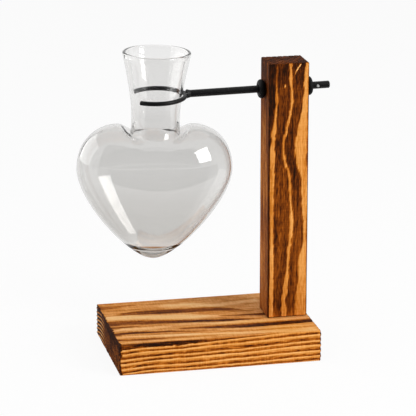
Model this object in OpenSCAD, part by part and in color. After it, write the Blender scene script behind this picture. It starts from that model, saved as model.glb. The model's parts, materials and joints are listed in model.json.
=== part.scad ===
// Heart-shaped hanging glass vase on a burnt-pine stand.
// Origin: middle of the base's underside. X runs along the base with the post at its +X end,
// Y runs from front to back and Z is up. Millimetres.

/* [Base] */
// Length of the base board, along X
base_length = 140; // [110:1:180]
// Width of the base board, front to back
base_width = 90; // [70:1:130]
// Thickness of the base board
base_height = 22; // [16:0.5:36]
// Radius of the worn edges of the base board
base_edge = 1.2; // [0.4:0.1:3]

/* [Post] */
// Width of the post, along X
post_width = 28; // [22:0.5:40]
// Depth of the post, front to back
post_depth = 24; // [20:0.5:40]
// Height of the post above the base board
post_height = 179.5; // [160:0.5:230]
// Distance from the post's outer side to the end of the base board
post_inset = 2; // [0:0.5:20]
// Radius of the worn edges of the post
post_edge = 0.9; // [0.4:0.1:2.5]

/* [Screws] */
// Length of each wood screw that holds the post from below
screw_length = 45; // [35:1:60]
// Diameter of the screw's core
screw_d = 3; // [2.5:0.1:4]
// Diameter of the countersunk screw head
screw_head_d = 7; // [6:0.1:9]
// Depth of the head below the base board's underside
screw_recess = 0.8; // [0.2:0.1:3]
// Distance between the two screws
screw_spacing = 11; // [10:0.5:13]
// Length of the cross-shaped drive slots in the head
drive_length = 3.6; // [2.5:0.1:4.5]
// Width of the drive slots
drive_width = 0.9; // [0.6:0.1:1.2]
// Depth of the drive slots
drive_depth = 1.6; // [1:0.1:2]

/* [Rod] */
// Diameter of the swivel rod
rod_d = 5; // [4:0.1:6]
// Distance from the top of the post down to the rod's bore, at the post's middle
rod_drop = 19.3; // [14:0.1:30]
// Angle by which the bore is off level, with the vase end low
rod_tilt = 0.9; // [0:0.1:2]
// Length of the rod that shows beyond the outer rubber ring
rod_stub = 12.4; // [6:0.1:25]
// Chamfer of the rod's free end
rod_chamfer = 0.5; // [0.2:0.1:1]
// Radial running clearance of the rod in the post
rod_fit = 0.06; // [0.03:0.01:0.1]
// Distance from the post's middle to the middle of the neck ring
arm_reach = 89; // [84:0.5:110]

/* [Neck ring] */
// Diameter of the ring's wire
wire_d = 3; // [2.4:0.1:3.6]
// Radial clearance between the ring and the glass neck
neck_fit = 0.6; // [0.5:0.1:1.2]
// Angle from the rod to the ring's front end
ring_front_angle = 132; // [110:1:150]
// Angle from the rod to the ring's back end
ring_back_angle = 136; // [120:1:160]
// Angle by which the ring's front hangs low
ring_roll = 2.6; // [0:0.1:3]
// Widest diameter of the weld between ring and rod
weld_d = 6.2; // [5.8:0.1:7]
// Length of the weld along the rod
weld_length = 2.4; // [1.5:0.1:5]

/* [Rubber rings] */
// Outer diameter of each rubber ring
rubber_d = 13; // [11:0.1:16]
// Thickness of the rubber before it is pushed on the rod
rubber_section_d = 4.4; // [4:0.1:5]
// Running gap between a rubber ring and the post
rubber_gap = 0.3; // [0.2:0.1:0.6]

/* [Vase neck] */
// Diameter of the lip
lip_d = 46; // [40:0.2:54]
// Thickness of the rounded lip
lip_thickness = 2.2; // [2:0.1:3]
// Outer diameter of the neck at its waist
waist_d = 32.6; // [29:0.2:34]
// Height of the lip above the ring
lip_rise = 29.2; // [24:0.2:40]
// Depth of the neck's waist below the ring
waist_drop = 16.4; // [12:0.2:17]
// Wall thickness of the glass
glass_wall = 1.6; // [1.2:0.1:2]

/* [Vase heart] */
// Width of the heart, lobe to lobe
heart_width = 106; // [96:1:120]
// Depth of the heart, front to back
heart_depth = 56; // [50:1:64]
// Height of the heart, from its tip to the tops of its lobes
heart_height = 94; // [86:1:104]
// Depth of the tops of the lobes below the ring
lobe_drop = 19.5; // [18:0.5:24]
// Depth of the side notches below the tops of the lobes
notch_depth = 5.4; // [3:0.1:7]
// Depth of the front and back clefts below the tops of the lobes
cleft_depth = 7; // [6:0.1:10]
// Thickness of the solid glass at the tip
tip_thickness = 7; // [5:0.1:9]
// Angle by which the vase is turned in the ring
vase_turn = -6; // [-90:1:90]
// Angle by which the vase leans in the ring
vase_lean = 1.4; // [0:0.1:2]

/* [Hidden] */

// Faces on round pieces, and on the small circles of wire and rubber
$fn = 64;
wire_fn = 32;

// Overrun of every cut
overrun = 1;

// Place of the post, and of the bore in it
post_x = base_length / 2 - post_inset - post_width / 2;
bore_z = base_height + post_height - rod_drop;
bore_d = rod_d + 2 * rod_fit;

// Screws: clearance round the core, countersink, blunt end
screw_fit = 0.1;
screw_cone = (screw_head_d - screw_d) / 2;
screw_point_d = 1.2;
screw_point_length = 5;
head_land = 0.4;

// Rod: from the weld to the chamfered end, in the arm's own frame
rubber_offset = post_width / 2 / cos(rod_tilt) + rubber_gap + rubber_section_d / 2;
rod_end = rubber_offset + rubber_section_d / 2 + rod_stub;
rubber_centre_r = (rubber_d - rubber_section_d) / 2;

// Ring: its inside follows the neck's diameter at the height of the ring
neck_flare_share = 0.45;
neck_r_at_ring = neck_radius(lip_rise / (lip_rise + waist_drop));
ring_r = neck_r_at_ring + neck_fit + wire_d / 2;
rod_start = ring_r + wire_d / 2 - arm_reach;
weld_reach = wire_d * 0.6;

// Vase: heights above the middle of the ring, and radii
lip_r = lip_d / 2;
waist_r = waist_d / 2;
lobe_z = -lobe_drop;
tip_z = lobe_z - heart_height;
notch_z = lobe_z - notch_depth;
cleft_z = lobe_z - cleft_depth;
floor_z = tip_z + tip_thickness;

// Heart outline, as shares of its half width or half depth and of its height
lobe_top_share = 0.245;
widest_share = 0.675;
lobe_round_shares = [0.56, 0.59];
flank_share = 0.35;
tip_round_share = 0.305;
notch_round_shares = [0.55, 0.35, 0.5];
notch_share = 0.045;
cleft_round_shares = [0.45, 0.3, 0.75];
cleft_share = 0.18;
front_shoulder_shares = [[0.2, 0.11], [0.62, 0.28], [0.8, 0.45]];
front_belly_shares = [0.92, 0.58];
front_full_share = 0.6;
cleft_power = 2;

widest_z = tip_z + heart_height * widest_share;
lobe_top_r = waist_r + (heart_width / 2 - waist_r) * lobe_top_share;
notch_r = waist_r + (lobe_top_r - waist_r) * notch_share;
cleft_r = waist_r + (heart_depth / 2 - waist_r) * cleft_share;

// Facets of the glass: columns round it, rings along each stretch of its outline
glass_columns = 48;
neck_rings = 6;
throat_rings = 3;
shoulder_rings = 4;
lobe_rings = 7;
flank_rings = 11;
lip_rings = 4;

function cubic(p, t) =
    p[0] * (1 - t) ^ 3 + 3 * p[1] * t * (1 - t) ^ 2 + 3 * p[2] * t ^ 2 * (1 - t) + p[3] * t ^ 3;

// Radius of the neck at share t of the way from the lip down to the waist
function neck_radius(t) =
    let (flare_r = lip_d / 2 - (lip_d - waist_d) / 2 * neck_flare_share)
    cubic([lip_d / 2, flare_r, waist_d / 2, waist_d / 2], t);

// Outline through the lobes, as five curves of [radius, height] points from lip to tip
function side_curves() =
    let (
        r = heart_width / 2,
        neck_length = lip_rise + waist_drop,
        throat = notch_z + waist_drop,
        fall = widest_z - tip_z
    )
    [
        neck_curve(neck_length),
        [
            [waist_r, -waist_drop],
            [waist_r, -waist_drop + throat * notch_round_shares[0]],
            [(waist_r + notch_r) / 2, notch_z],
            [notch_r, notch_z]
        ],
        [
            [notch_r, notch_z],
            [notch_r + (lobe_top_r - notch_r) * notch_round_shares[1], notch_z],
            [lobe_top_r - (lobe_top_r - notch_r) * notch_round_shares[2], lobe_z],
            [lobe_top_r, lobe_z]
        ],
        [
            [lobe_top_r, lobe_z],
            [lobe_top_r + (r - lobe_top_r) * lobe_round_shares[0], lobe_z],
            [r, widest_z + (lobe_z - widest_z) * lobe_round_shares[1]],
            [r, widest_z]
        ],
        flank_curve(r, fall)
    ];

// Outline through the clefts at the front and back, as the same five curves
function front_curves() =
    let (
        r = heart_depth / 2,
        neck_length = lip_rise + waist_drop,
        throat = cleft_z + waist_drop,
        drop = cleft_z - widest_z,
        reach = r - cleft_r,
        c = cleft_round_shares,
        s = front_shoulder_shares
    )
    [
        neck_curve(neck_length),
        [
            [waist_r, -waist_drop],
            [waist_r, -waist_drop + throat * c[0]],
            [waist_r + (cleft_r - waist_r) * c[1], -waist_drop + throat * c[2]],
            [cleft_r, cleft_z]
        ],
        [
            [cleft_r, cleft_z],
            [cleft_r + reach * s[0][0], cleft_z - drop * s[0][1]],
            [cleft_r + reach * s[1][0], cleft_z - drop * s[1][1]],
            [cleft_r + reach * s[2][0], cleft_z - drop * s[2][1]]
        ],
        [
            [cleft_r + reach * s[2][0], cleft_z - drop * s[2][1]],
            [cleft_r + reach * front_belly_shares[0], cleft_z - drop * front_belly_shares[1]],
            [r, widest_z + drop * (1 - front_full_share)],
            [r, widest_z]
        ],
        flank_curve(r, widest_z - tip_z)
    ];

function neck_curve(neck_length) =
    let (flare_r = lip_r - (lip_r - waist_r) * neck_flare_share)
    [
        [lip_r, lip_rise],
        [flare_r, lip_rise - neck_length / 3],
        [waist_r, lip_rise - neck_length * 2 / 3],
        [waist_r, -waist_drop]
    ];

function flank_curve(r, fall) =
    [
        [r, widest_z],
        [r, widest_z - fall * flank_share],
        [r * tip_round_share, tip_z],
        [0, tip_z]
    ];

sides = side_curves();
fronts = front_curves();

// Point of the outer skin: curve i at share t, at angle a round the vase
function skin(i, t, a) =
    let (
        s = cubic(sides[i], t),
        f = cubic(fronts[i], t),
        w = abs(cos(a)) ^ cleft_power
    )
    [s[0] * cos(a), f[0] * sin(a), s[1] * w + f[1] * (1 - w)];

// Step for the slopes of the skin
slope_step = 0.001;

function outward(i, t, a) =
    let (
        t0 = max(t - slope_step, 0),
        t1 = min(t + slope_step, 1),
        along = skin(i, t1, a) - skin(i, t0, a),
        round_it = skin(i, t, a + slope_step) - skin(i, t, a - slope_step),
        n = cross(round_it, along)
    )
    n / norm(n);

// Point of the inner skin, one wall inside the outer one and never below the cavity's floor
function lining(i, t, a) =
    let (p = skin(i, t, a) + glass_wall * outward(i, t, a))
    [p[0], p[1], max(p[2], floor_z)];

// Point of the rounded lip, at angle b from the outside over the top to the inside
function lip_point(a, b) =
    let (
        half = lip_thickness / 2,
        r = lip_r - half + half * cos(b)
    )
    [r * cos(a), r * sin(a), lip_rise + half * sin(b)];

ring_counts = [neck_rings, throat_rings, shoulder_rings, lobe_rings, flank_rings];
angles = [for (k = [0 : glass_columns - 1]) 360 * k / glass_columns];
stations = [for (i = [0 : 4]) for (j = [1 : ring_counts[i]]) if (i < 4 || j < flank_rings) [i, j / ring_counts[i]]];

outer_rings = [for (s = stations) [for (a = angles) skin(s[0], s[1], a)]];
inner_rings = [for (s = stations) [for (a = angles) lining(s[0], s[1], a)]];
rim_rings = [for (j = [0 : lip_rings]) [for (a = angles) lip_point(a, 180 * j / lip_rings)]];
ring_stack = [
    for (k = [len(outer_rings) - 1 : -1 : 0]) outer_rings[k],
    for (g = rim_rings) g,
    for (g = inner_rings) g
];

// Closed skin over a stack of rings, with a point at each end
module ring_skin(stack, first_point, last_point) {
    n = len(stack[0]);
    m = len(stack);
    points = [first_point, for (g = stack) for (p = g) p, last_point];
    last = len(points) - 1;
    faces = [
        for (c = [0 : n - 1]) [0, 1 + c, 1 + (c + 1) % n],
        for (k = [0 : m - 2])
            for (c = [0 : n - 1])
                let (
                    p = 1 + k * n + c,
                    q = 1 + k * n + (c + 1) % n
                )
                each [[p, p + n, q + n], [p, q + n, q]],
        for (c = [0 : n - 1]) [last, 1 + (m - 1) * n + (c + 1) % n, 1 + (m - 1) * n + c]
    ];
    polyhedron(points = points, faces = faces);
}

// Rectangle with round corners
module round_rectangle(x, y, r) {
    square([x - 2 * r, y], center = true);
    square([x, y - 2 * r], center = true);
    for (i = [-1, 1])
        for (j = [-1, 1])
            translate([i * (x / 2 - r), j * (y / 2 - r)])
                circle(r);
}

// Board that stands on z = 0, with all of its edges worn round
module worn_board(x, y, z, r) {
    translate([0, 0, z / 2])
        intersection() {
            linear_extrude(z, center = true)
                round_rectangle(x, y, r);
            rotate([90, 0, 0])
                linear_extrude(y, center = true)
                    round_rectangle(x, z, r);
            rotate([90, 0, 90])
                linear_extrude(x, center = true)
                    round_rectangle(y, z, r);
        }
}

// Places its children on the bore's axis, at the middle of the post
module on_bore() {
    translate([post_x, 0, bore_z])
        rotate([0, -rod_tilt, 0])
            children();
}

// Places its children at the middle of the neck ring, upright
module at_ring() {
    translate([post_x - arm_reach * cos(rod_tilt), 0, bore_z - arm_reach * sin(rod_tilt)])
        children();
}

// Solid of one screw, or of its hole when clearance is given; the head is at the bottom
module screw_form(clearance) {
    translate([0, 0, screw_recess]) {
        cylinder(d = screw_head_d + 2 * clearance, h = head_land);
        translate([0, 0, head_land])
            cylinder(d1 = screw_head_d + 2 * clearance, d2 = screw_d + 2 * clearance, h = screw_cone);
        cylinder(d = screw_d + 2 * clearance, h = screw_length - screw_point_length);
        translate([0, 0, screw_length - screw_point_length])
            cylinder(
                d1 = screw_d + 2 * clearance,
                d2 = screw_point_d + 2 * clearance,
                h = screw_point_length + clearance
            );
    }
}

module screw_hole(side) {
    translate([post_x, side * screw_spacing / 2, 0]) {
        screw_form(screw_fit);
        translate([0, 0, -overrun])
            cylinder(d = screw_head_d + 2 * screw_fit, h = screw_recess + overrun);
    }
}

module base() {
    color("peru")
        difference() {
            worn_board(base_length, base_width, base_height, base_edge);
            screw_hole(-1);
            screw_hole(1);
        }
}

module post() {
    color("saddlebrown")
        difference() {
            translate([post_x, 0, base_height])
                worn_board(post_width, post_depth, post_height, post_edge);
            on_bore()
                rotate([0, 90, 0])
                    cylinder(d = bore_d, h = post_width + 2 * overrun, center = true);
            screw_hole(-1);
            screw_hole(1);
        }
}

module post_screw(side) {
    color("silver")
        translate([post_x, side * screw_spacing / 2, 0])
            difference() {
                screw_form(0);
                for (turn = [0, 90])
                    rotate([0, 0, turn])
                        translate([-drive_length / 2, -drive_width / 2, screw_recess - overrun])
                            cube([drive_length, drive_width, drive_depth + overrun]);
            }
}

module rod_form() {
    translate([rod_start, 0, 0])
        rotate([0, 90, 0])
            cylinder(d = rod_d, h = rod_end - rod_chamfer - rod_start);
    translate([rod_end - rod_chamfer, 0, 0])
        rotate([0, 90, 0])
            cylinder(d1 = rod_d, d2 = rod_d - 2 * rod_chamfer, h = rod_chamfer);
}

module ring_form() {
    translate([-arm_reach, 0, 0])
        rotate([ring_roll, 0, 0])
            rotate([0, 0, -ring_front_angle])
                rotate_extrude(angle = ring_front_angle + ring_back_angle)
                    translate([ring_r, 0])
                        circle(d = wire_d, $fn = wire_fn);
}

module swivel_rod() {
    color("dimgray")
        on_bore()
            rod_form();
}

module neck_ring() {
    color("dimgray")
        on_bore()
            ring_form();
}

module weld_bead() {
    color("gray")
        on_bore()
            difference() {
                translate([rod_start, 0, 0])
                    rotate([0, 90, 0]) {
                        cylinder(d1 = weld_d, d2 = rod_d, h = weld_length);
                        translate([0, 0, -weld_reach])
                            cylinder(d1 = wire_d, d2 = weld_d, h = weld_reach);
                    }
                rod_form();
                ring_form();
            }
}

module rubber_ring(side) {
    color("black")
        on_bore()
            translate([side * rubber_offset, 0, 0])
                rotate([0, 90, 0])
                    difference() {
                        rotate_extrude()
                            translate([rubber_centre_r, 0])
                                circle(d = rubber_section_d, $fn = wire_fn);
                        cylinder(d = rod_d, h = rubber_section_d + overrun, center = true);
                    }
}

module vase() {
    color("lightcyan")
        at_ring()
            rotate([0, vase_lean, 0])
                rotate([0, 0, vase_turn])
                    ring_skin(ring_stack, [0, 0, tip_z], [0, 0, floor_z]);
}

base();
post();
post_screw(-1);  // post_screw_front
post_screw(1);  // post_screw_back
swivel_rod();
neck_ring();
weld_bead();
rubber_ring(-1);  // rubber_ring_inner
rubber_ring(1);  // rubber_ring_outer
vase();
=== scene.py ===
"""Heart-shaped glass vase that hangs in a wire ring on a stand of burnt and brushed pine.

Sizes are in millimetres and meshes are scaled to metres as they are made. X runs along the base board,
with the post at its +X end, Y runs from front to back and Z is up.
"""

import json
import logging
import math
from dataclasses import dataclass
from enum import Enum

import bmesh
import bpy
import numpy as np
from mathutils import Euler, Matrix, Vector


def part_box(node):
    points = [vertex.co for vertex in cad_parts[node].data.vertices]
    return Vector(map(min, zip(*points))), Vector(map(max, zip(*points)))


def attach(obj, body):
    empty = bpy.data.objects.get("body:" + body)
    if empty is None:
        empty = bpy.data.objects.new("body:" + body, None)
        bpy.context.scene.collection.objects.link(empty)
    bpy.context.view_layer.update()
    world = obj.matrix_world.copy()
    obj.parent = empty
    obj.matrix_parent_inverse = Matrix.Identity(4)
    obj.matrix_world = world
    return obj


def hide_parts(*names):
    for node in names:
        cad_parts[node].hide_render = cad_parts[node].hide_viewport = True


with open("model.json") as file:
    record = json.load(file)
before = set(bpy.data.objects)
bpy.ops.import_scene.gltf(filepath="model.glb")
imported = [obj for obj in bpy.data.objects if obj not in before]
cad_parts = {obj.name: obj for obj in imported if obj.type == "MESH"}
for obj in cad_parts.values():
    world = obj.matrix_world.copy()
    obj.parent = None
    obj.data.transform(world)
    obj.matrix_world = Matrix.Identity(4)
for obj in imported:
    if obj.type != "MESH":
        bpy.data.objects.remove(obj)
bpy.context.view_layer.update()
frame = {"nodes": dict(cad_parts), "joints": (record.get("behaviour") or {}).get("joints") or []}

MM = 0.001
LOG = logging.getLogger("vase")

Array = np.ndarray
Couple = tuple[float, float]
Point = tuple[float, float, float]
Colour = tuple[float, float, float]
Colours = tuple[Colour, ...]
Stops = tuple[tuple[float, ...], ...]
Material = bpy.types.Material
Object = bpy.types.Object
Socket = bpy.types.NodeSocket


def linears(*seen: tuple[int, int, int]) -> Colours:
    """Turn colours as they are seen on a screen into the renderer's linear ones.

    Args:
        *seen: Red, green and blue of each, from 0 to 255.

    Returns:
        Their linear values, from 0 to 1.
    """
    low, gain, offset, power = 0.04045, 12.92, 0.055, 2.4
    x = np.array(seen) / 255
    values = np.where(x <= low, x / gain, ((x + offset) / (1 + offset)) ** power)
    return tuple(tuple(colour) for colour in values.tolist())


def smooth(x: Array, start: float, end: float) -> Array:
    """Rise smoothly from 0 at start to 1 at end.

    Args:
        x: Values to map.
        start: Where the rise starts.
        end: Where the rise ends; it may lie before start.

    Returns:
        Values from 0 to 1.
    """
    t = np.clip((x - start) / (end - start), 0, 1)
    return t * t * (3 - 2 * t)


def between(stops: Stops, x: Array, column: int = 1) -> Array:
    """Read one column of a table of stops, whose first column is the place of each stop."""
    return np.interp(x, [stop[0] for stop in stops], [stop[column] for stop in stops])


def bezier(points: list[Couple], t: float) -> Array:
    """Find a point on a cubic curve.

    Args:
        points: The curve's four control points.
        t: Share of the way along the curve.

    Returns:
        The point.
    """
    a, b, c, d = np.asarray(points, float)
    return a * (1 - t) ** 3 + 3 * b * t * (1 - t) ** 2 + 3 * c * t**2 * (1 - t) + d * t**3


class Noise:
    """Smooth lumps of value that are the same on each run."""

    def __init__(self, seed: int) -> None:
        """Fill the lattice by a seed, which picks one of many patterns."""
        self.lattice = np.random.default_rng(seed).random(8191)
        self.strides = np.array([1, 127, 3571])

    def at(self, points: Array, size: Point) -> Array:
        """Read the noise.

        Args:
            points: Points in millimetres, one a row.
            size: Size of a lump along X, Y and Z.

        Returns:
            A value from 0 to 1 for each point.
        """
        p = points / np.array(size, float)
        cell = np.floor(p).astype(np.int64)
        f = p - cell
        f = f * f * (3 - 2 * f)
        total = np.zeros(len(points))
        for corner in np.ndindex(2, 2, 2):
            weight = np.prod(np.where(np.array(corner), f, 1 - f), axis=1)
            total += weight * self.lattice[(cell + corner) @ self.strides % len(self.lattice)]
        return total

    def swing(self, points: Array, size: Point) -> Array:
        """Read the noise as a swing from -0.5 to 0.5; see at."""
        return self.at(points, size) - 0.5


class Nodes:
    """A tree of shading nodes under construction."""

    def __init__(self, tree: bpy.types.NodeTree) -> None:
        """Take the tree to add to."""
        self.tree = tree

    def add(self, kind: str, settings: dict | None = None, **inputs: object) -> bpy.types.Node:
        """Add a node.

        Args:
            kind: The node's type.
            settings: Values of the node's own options.
            **inputs: Values or sockets for its inputs, named with underscores for spaces.

        Returns:
            The new node.
        """
        node = self.tree.nodes.new(kind)
        for name, value in (settings or {}).items():
            setattr(node, name, value)
        for name, value in inputs.items():
            self.feed(node.inputs[name.replace("_", " ")], value)
        return node

    def feed(self, socket: Socket, value: object) -> None:
        """Give a socket a plain value or a link.

        Args:
            socket: The input to set.
            value: A number, a colour or another node's output.
        """
        if isinstance(value, Socket):
            self.tree.links.new(value, socket)
        elif isinstance(value, tuple) and socket.type == "RGBA":
            socket.default_value = (*value[:3], 1.0)
        else:
            socket.default_value = value

    def math(self, operation: str, a: object, b: object, clamp: bool = False) -> Socket:
        """Add a Math node.

        Args:
            operation: The node's operation.
            a: First value or socket.
            b: Second value or socket.
            clamp: Whether the result is kept from 0 to 1.

        Returns:
            The node's output.
        """
        node = self.add("ShaderNodeMath", {"operation": operation, "use_clamp": clamp})
        self.feed(node.inputs[0], a)
        self.feed(node.inputs[1], b)
        return node.outputs[0]

    def stretch(self, value: object, low: float, high: float, start: float, end: float) -> Socket:
        """Map a value from one range to another, clamped.

        Args:
            value: The value or socket.
            low: Start of the range that it comes from.
            high: End of that range.
            start: Result at low.
            end: Result at high.

        Returns:
            The mapped value.
        """
        ranges = {"From_Min": low, "From_Max": high, "To_Min": start, "To_Max": end}
        return self.add("ShaderNodeMapRange", Value=value, **ranges).outputs[0]

    def seen_rays(self) -> Socket:
        """Find 1 for rays that show the surroundings, to the camera, in gloss or through glass, else 0.

        Returns:
            The value.
        """
        path = self.add("ShaderNodeLightPath")
        seen = self.math("MAXIMUM", path.outputs["Is Camera Ray"], path.outputs["Is Glossy Ray"])
        return self.math("MAXIMUM", seen, path.outputs["Is Transmission Ray"])


class Shader(Nodes):
    """A material under construction, with its surface and output in place."""

    def __init__(self, name: str, kind: str = "ShaderNodeBsdfPrincipled", **inputs: object) -> None:
        """Start the material.

        Args:
            name: The material's name.
            kind: Type of the node that makes its surface.
            **inputs: Values or sockets for that node's inputs.
        """
        self.material = bpy.data.materials.new(name)
        self.material.use_nodes = True
        super().__init__(self.material.node_tree)
        self.tree.nodes.clear()
        self.output = self.add("ShaderNodeOutputMaterial")
        self.surface = self.add(kind, **inputs)
        self.feed(self.output.inputs["Surface"], self.surface.outputs[0])

    def set(self, **inputs: object) -> None:
        """Set inputs of the surface's node by name."""
        for name, value in inputs.items():
            self.feed(self.surface.inputs[name.replace("_", " ")], value)

    def attribute(self, name: str) -> Socket:
        """Read a number that the mesh holds at each point."""
        return self.add("ShaderNodeAttribute", {"attribute_name": name}).outputs["Fac"]

    def place(self) -> Socket:
        """Read the place on the piece, in metres."""
        return self.add("ShaderNodeTexCoord").outputs["Object"]

    def noise(self, scale: Point, detail: float, roughness: float = 0.5) -> Socket:
        """Add noise that is fixed to the piece.

        Args:
            scale: Lumps per metre along X, Y and Z.
            detail: Octaves of finer lumps.
            roughness: How strong the finer lumps are.

        Returns:
            The noise, mostly from 0.3 to 0.7.
        """
        placed = self.add("ShaderNodeMapping", Vector=self.place(), Scale=scale).outputs[0]
        node = self.add("ShaderNodeTexNoise", Vector=placed, Scale=1.0, Detail=detail, Roughness=roughness)
        return node.outputs["Fac"]

    def swing(self, value: Socket, strength: object) -> Socket:
        """Turn a value round 0.5 into a swing round 0 of a given strength."""
        return self.math("MULTIPLY", self.math("SUBTRACT", value, 0.5), strength)

    def ramp(self, value: Socket, places: tuple[float, ...], colours: Colours) -> Socket:
        """Colour a value by a ramp.

        Args:
            value: The value, from 0 to 1.
            places: Places of the ramp's stops.
            colours: Their colours.

        Returns:
            The colour.
        """
        node = self.add("ShaderNodeValToRGB", Fac=value)
        elements = node.color_ramp.elements
        while len(elements) < len(places):
            elements.new(0.5)
        for element, place, colour in zip(elements, places, colours):
            element.position, element.color = place, (*colour, 1.0)
        return node.outputs["Color"]

    def blend(self, share: Socket, under: object, over: object) -> Socket:
        """Mix two colours.

        Args:
            share: Share of the second one.
            under: First colour or socket.
            over: Second colour or socket.

        Returns:
            The mixed colour.
        """
        node = self.add("ShaderNodeMix", {"data_type": "RGBA"}, Factor=share)
        first, second = (socket for socket in node.inputs if socket.type == "RGBA")
        self.feed(first, under)
        self.feed(second, over)
        return next(socket for socket in node.outputs if socket.type == "RGBA")

    def cover(self, share: Socket, under: Socket, over: Socket) -> None:
        """Make the surface a mix of two shaders.

        Args:
            share: Share of the second one.
            under: First shader.
            over: Second shader.
        """
        node = self.add("ShaderNodeMixShader", Fac=share)
        self.feed(node.inputs[1], under)
        self.feed(node.inputs[2], over)
        self.feed(self.output.inputs["Surface"], node.outputs[0])

    def bump(self, height: Socket, distance: float, strength: float) -> None:
        """Roughen the surface by a height.

        Args:
            height: The height, from 0 to 1.
            distance: Depth that a height of 1 stands for, in millimetres.
            strength: Share of the effect.
        """
        node = self.add("ShaderNodeBump", Height=height, Strength=strength, Distance=distance * MM)
        self.set(Normal=node.outputs[0])

    def mirrored_only(self) -> None:
        """Show the surface only to rays that were mirrored on their way, and let all others pass."""
        depth = self.add("ShaderNodeLightPath").outputs["Glossy Depth"]
        clear = self.add("ShaderNodeBsdfTransparent").outputs[0]
        self.cover(self.math("MINIMUM", depth, 1.0), clear, self.surface.outputs[0])


@dataclass(frozen=True)
class BurntPine:
    """Finish of pine that was burnt and brushed, coloured by how dark each point is, which is mostly the
    fire's doing and on the base board's long sides partly painted highlight and shade.
    """

    name: str
    grain: int
    places: tuple[float, ...] = (0.0, 0.2, 0.42, 0.62, 0.82, 1.0)
    orange: Colours = linears(
        (253, 192, 112), (240, 165, 78), (208, 123, 34), (150, 74, 8), (86, 36, 2), (30, 13, 4),
    )
    tan: Colours = linears(
        (255, 216, 162), (243, 183, 120), (208, 134, 62), (150, 84, 26), (90, 44, 8), (32, 15, 6),
    )
    fibre_scale: float = 1500.0
    pore_scale: float = 2600.0
    saw_scale: float = 1100.0
    stretch_share: float = 0.07
    saw_share: float = 0.12
    fibre_strength: float = 0.5
    pore_strength: Couple = (0.2, 0.75)
    saw_strength: float = 0.3
    roughness: Couple = (0.6, 0.78)
    specular: float = 0.07
    relief: Couple = (0.35, 0.6)

    def make(self) -> Material:
        """Build the material.

        Returns:
            The material.
        """
        shader = Shader(self.name, Specular_IOR_Level=self.specular)
        fibre = shader.noise(self.scale(self.fibre_scale, self.fibre_scale * self.stretch_share), 3.0, 0.6)
        pore = shader.noise(self.scale(self.pore_scale, self.pore_scale * self.stretch_share), 2.0)
        saw = shader.noise(self.scale(self.saw_scale * self.saw_share, self.saw_scale), 2.0)
        burn = shader.attribute("burn")
        fleck = shader.swing(fibre, self.fibre_strength)
        speck = shader.swing(pore, shader.stretch(burn, 0, 1, *self.pore_strength))
        marks = shader.math("ADD", shader.swing(saw, self.saw_strength), shader.math("ADD", fleck, speck))
        tone = shader.math("ADD", burn, marks, clamp=True)
        orange, tan = (shader.ramp(tone, self.places, colours) for colours in (self.orange, self.tan))
        shader.set(Base_Color=shader.blend(shader.attribute("tan"), orange, tan))
        shader.set(Roughness=shader.stretch(tone, 0, 1, *self.roughness))
        shader.bump(fibre, *self.relief)
        return shader.material

    def scale(self, across: float, along: float) -> Point:
        """Lumps per metre along X, Y and Z, from their numbers across the grain and along it."""
        return tuple(along if axis == self.grain else across for axis in range(3))


@dataclass(frozen=True)
class GrainedFinish:
    """A finish whose fine grain varies its colour, gloss and height a little."""

    name: str
    colours: Colours
    roughness: Couple
    grain: Point
    detail: float = 3.0
    coarseness: float = 0.5
    grain_range: Couple = (0.3, 0.7)
    colour_range: Couple = grain_range
    specular: float = 0.5
    metallic: float = 0.0
    relief: Couple | None = None

    def make(self) -> Material:
        """Build the material.

        Returns:
            The material.
        """
        shader = Shader(self.name, Specular_IOR_Level=self.specular, Metallic=self.metallic)
        grain = shader.noise(self.grain, self.detail, self.coarseness)
        share = shader.stretch(grain, *self.colour_range, 0, 1)
        colour = shader.ramp(share, (0.0, 1.0), self.colours)
        shader.set(Base_Color=self.worn(shader, grain, colour))
        shader.set(Roughness=shader.stretch(grain, *self.grain_range, *self.roughness))
        if self.relief:
            shader.bump(grain, *self.relief)
        return shader.material

    def worn(self, shader: Shader, grain: Socket, colour: Socket) -> Socket:
        """Leave the colour as it is; a finish that has worn places changes it."""
        return colour


@dataclass(frozen=True)
class SatinPaint(GrainedFinish):
    """Black satin paint on steel, with a small chip down to the metal where a place for one is given."""

    name: str = "black_metal"
    colours: Colours = linears((7, 7, 7), (14, 14, 15))
    roughness: Couple = (0.32, 0.48)
    grain: Point = (900.0, 900.0, 900.0)
    specular: float = 0.2
    relief: Couple | None = (0.05, 0.35)
    metal: Colour = linears((176, 178, 176))[0]
    chip: Point | None = None
    chip_size: float = 1.3
    chip_edge: Couple = (1.05, 1.35)

    def worn(self, shader: Shader, grain: Socket, colour: Socket) -> Socket:
        """Lay the metal bare in the chip.

        Args:
            shader: The material under construction.
            grain: The grain, which frays the chip's edge.
            colour: Colour of the paint.

        Returns:
            Colour of the paint and the chip.
        """
        if self.chip is None:
            return colour
        size = self.chip_size * MM
        away = shader.add("ShaderNodeVectorMath", {"operation": "DISTANCE"})
        shader.feed(away.inputs[0], shader.place())
        shader.feed(away.inputs[1], tuple(value * MM for value in self.chip))
        edge = shader.math("ADD", away.outputs["Value"], shader.math("MULTIPLY", grain, size))
        bare = shader.stretch(edge, *(size * share for share in self.chip_edge), 1, 0)
        return shader.blend(bare, colour, self.metal)


@dataclass(frozen=True)
class PaintedWeld(GrainedFinish):
    """Paint over the rough skin of a weld, whose bumps are a little brighter by a painted highlight."""

    name: str = "weld_metal"
    # The lighter colour, taken only by the bumps, is a painted highlight.
    colours: Colours = linears((8, 8, 8), (38, 38, 38))
    roughness: Couple = (0.55, 0.36)
    grain: Point = (620.0, 620.0, 620.0)
    detail: float = 2.0
    coarseness: float = 0.6
    colour_range: Couple = (0.5, 0.72)
    specular: float = 0.3
    relief: Couple | None = (0.3, 0.8)


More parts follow.
